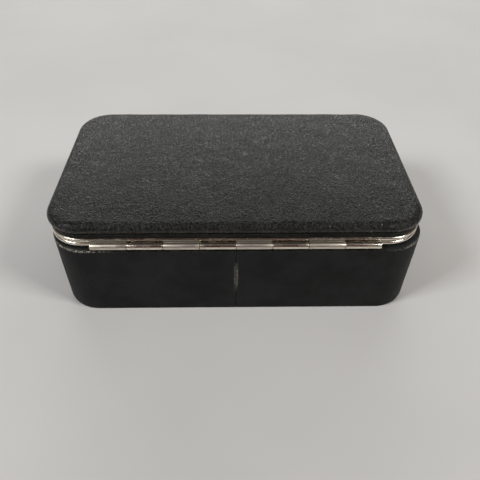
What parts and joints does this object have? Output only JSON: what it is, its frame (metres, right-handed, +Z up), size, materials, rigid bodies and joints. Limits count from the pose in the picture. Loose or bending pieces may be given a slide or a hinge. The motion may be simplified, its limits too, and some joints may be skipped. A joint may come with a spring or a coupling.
{
  "type": "poker chip case",
  "caption": "Leather-covered poker chip case with rounded corners, a hinged padded lid, metal rims, a chip rack and a card box.",
  "frame": {"origin": "centre of the flat underside", "axes": "+X along the length, +Y from the hinge at the back towards the latch at the front, +Z up"},
  "size_m": [0.2015, 0.1222, 0.0638],
  "materials": {
    "black_leather": "fine pebbled grain, satin, worn grey along the edges",
    "lid_leather": "coarse pebbled grain over a thin pad, satin",
    "fibreboard": "plain brown board",
    "nickel": "polished nickel plate, slightly warm",
    "brushed_nickel": "satin nickel, brushed and a little worn",
    "spring_steel": "bare spring steel",
    "velvet": "short burgundy pile, matte",
    "foam": "thin wadding"
  },
  "bodies": {
    "base": {"underside_cover": "black_leather", "base_side_cover": "black_leather", "base_wall": "fibreboard", "base_board": "fibreboard", "base_rim": "nickel", "base_lining": "velvet", "chip_rack": "velvet", "card_box": "velvet", "hinge_pin": "spring_steel", "latch_plate": "nickel", "plate_rivet_left": "nickel", "plate_rivet_right": "nickel", "latch_spring": "spring_steel", "latch_case": "brushed_nickel", "spring_rivet": "spring_steel", "case_nail_left": "nickel", "case_nail_right": "nickel", "base_knuckle_1": "nickel", "base_knuckle_2": "nickel", "base_knuckle_3": "nickel", "base_knuckle_4": "nickel"},
    "lid": {"lid_cover": "lid_leather", "lid_pad": "foam", "lid_board": "fibreboard", "lid_welt": "black_leather", "lid_rim": "nickel", "lid_lining": "velvet", "lid_catch": "spring_steel", "lid_knuckle_1": "brushed_nickel", "lid_knuckle_2": "brushed_nickel", "lid_knuckle_3": "brushed_nickel", "lid_knuckle_4": "brushed_nickel"},
    "button": {"latch_button": "nickel"}
  },
  "joints": [
    {"name": "lid_hinge", "type": "hinge", "parent": "base", "child": "lid", "pos_m": [0, -0.05855, 0.05], "axis": [1, 0, 0], "range_deg": [0, 170], "deforming": ["latch_spring"]},
    {"name": "latch_press", "type": "slide", "parent": "base", "child": "button", "axis": [0, -1, 0], "range_m": [0, 0.0012], "stiffness_N_per_m": 900, "springref_m": -0.001, "deforming": ["latch_spring"]}
  ]
}
